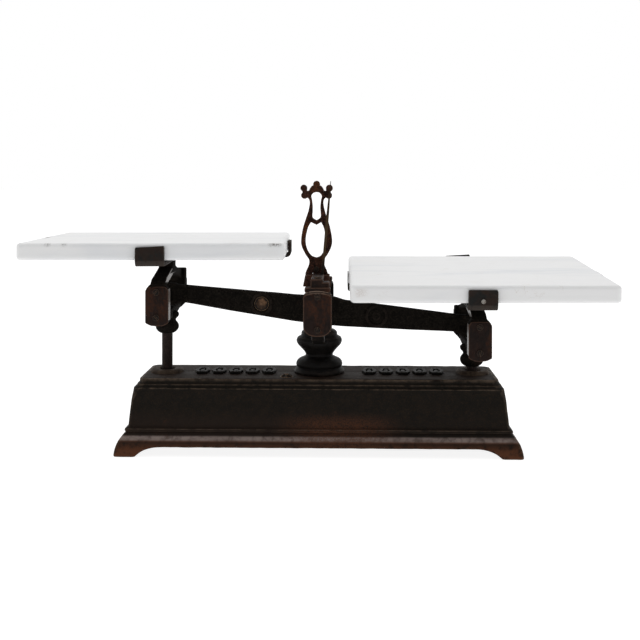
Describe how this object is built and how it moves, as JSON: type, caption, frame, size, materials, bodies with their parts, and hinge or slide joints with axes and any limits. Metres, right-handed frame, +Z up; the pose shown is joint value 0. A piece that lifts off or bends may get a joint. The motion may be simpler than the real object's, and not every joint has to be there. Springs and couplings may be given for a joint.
{
  "type": "equal arm balance scale",
  "caption": "Counter scale with an equal-arm beam on knife edges, upright plate carriers linked by a lower stay, loose marble plates, a pointer frame and a hollow cast base.",
  "frame": {"origin": "bottom centre of the base, on the table", "axes": "+X along the beam towards the plate that is down, +Y from the front to the back, +Z up"},
  "size_m": [0.6728, 0.2557, 0.3154],
  "materials": {
    "black_cast_iron": "old black paint worn to rust-brown iron",
    "beam_iron": "blackened iron",
    "brown_iron": "rust-brown oiled iron",
    "dark_steel": "dark worn strip steel",
    "bare_steel": "hardened steel, dull",
    "pointer_iron": "rust-brown thin casting",
    "screw_steel": "brown screw heads",
    "worn_brown_metal": "dull brown brass",
    "white_marble": "honed white marble with faint grey streaks"
  },
  "bodies": {
    "base": {"base_casting": "black_cast_iron", "seal_plug": "worn_brown_metal", "column_casting": "black_cast_iron", "column_stud": "bare_steel", "stud_washer": "bare_steel", "stud_nut": "bare_steel", "stay_bracket": "black_cast_iron", "stay_pin": "bare_steel", "bridge_bar": "brown_iron", "pointer_frame": "pointer_iron", "pointer_screw": "screw_steel", "bridge_screw_front": "screw_steel", "centre_bearing_front": "bare_steel", "centre_cover_front": "brown_iron", "centre_screw_front_bottom": "screw_steel", "centre_screw_front_top": "screw_steel", "bridge_screw_back": "screw_steel", "centre_bearing_back": "bare_steel", "centre_cover_back": "brown_iron", "centre_screw_back_bottom": "screw_steel", "centre_screw_back_top": "screw_steel"},
    "beam": {"beam_casting": "beam_iron", "centre_knife": "bare_steel", "end_knife_left": "bare_steel", "end_knife_right": "bare_steel", "needle": "worn_brown_metal", "beam_plug": "worn_brown_metal"},
    "left_carrier": {"left_stirrup": "beam_iron", "left_rod": "beam_iron", "left_rod_pin": "bare_steel", "left_front_bearing": "bare_steel", "left_front_cover": "brown_iron", "left_front_screw_top": "screw_steel", "left_front_screw_bottom": "screw_steel", "left_back_bearing": "bare_steel", "left_back_cover": "brown_iron", "left_back_screw_top": "screw_steel", "left_back_screw_bottom": "screw_steel", "left_cross": "dark_steel", "left_cross_rivet": "dark_steel"},
    "right_carrier": {"right_stirrup": "beam_iron", "right_rod": "beam_iron", "right_rod_pin": "bare_steel", "right_front_bearing": "bare_steel", "right_front_cover": "brown_iron", "right_front_screw_top": "screw_steel", "right_front_screw_bottom": "screw_steel", "right_back_bearing": "bare_steel", "right_back_cover": "brown_iron", "right_back_screw_top": "screw_steel", "right_back_screw_bottom": "screw_steel", "right_cross": "dark_steel", "right_cross_rivet": "dark_steel", "right_lug_screw": "screw_steel"},
    "lower_stay": {"lower_stay": "black_cast_iron"},
    "left_plate": {"left_plate": "white_marble"},
    "right_plate": {"right_plate": "white_marble"}
  },
  "joints": [
    {"name": "beam_tilt", "type": "hinge", "parent": "base", "child": "beam", "pos_m": [0, 0, 0.163], "axis": [0, -1, 0], "range_deg": [0, 12]},
    {"name": "left_carrier_pivot", "type": "hinge", "parent": "beam", "child": "left_carrier", "pos_m": [-0.18299, 0, 0.18223], "axis": [0, -1, 0], "range_deg": [-12, 0]},
    {"name": "right_carrier_pivot", "type": "hinge", "parent": "beam", "child": "right_carrier", "pos_m": [0.18299, 0, 0.14377], "axis": [0, -1, 0], "range_deg": [-12, 0]},
    {"name": "stay_tilt", "type": "hinge", "parent": "base", "child": "lower_stay", "pos_m": [0, 0, 0.042], "axis": [0, -1, 0], "range_deg": [0, 12]},
    {"name": "left_plate_lift", "type": "slide", "parent": "left_carrier", "child": "left_plate", "axis": [0, 0, 1], "range_m": [0, 0.06]},
    {"name": "right_plate_lift", "type": "slide", "parent": "right_carrier", "child": "right_plate", "axis": [0, -0.061, 0.9981], "range_m": [0, 0.06]}
  ],
  "couplings": [
    {"joint": "left_carrier_pivot", "follows": "beam_tilt", "ratio": -1},
    {"joint": "right_carrier_pivot", "follows": "beam_tilt", "ratio": -1},
    {"joint": "stay_tilt", "follows": "beam_tilt", "ratio": 1}
  ]
}
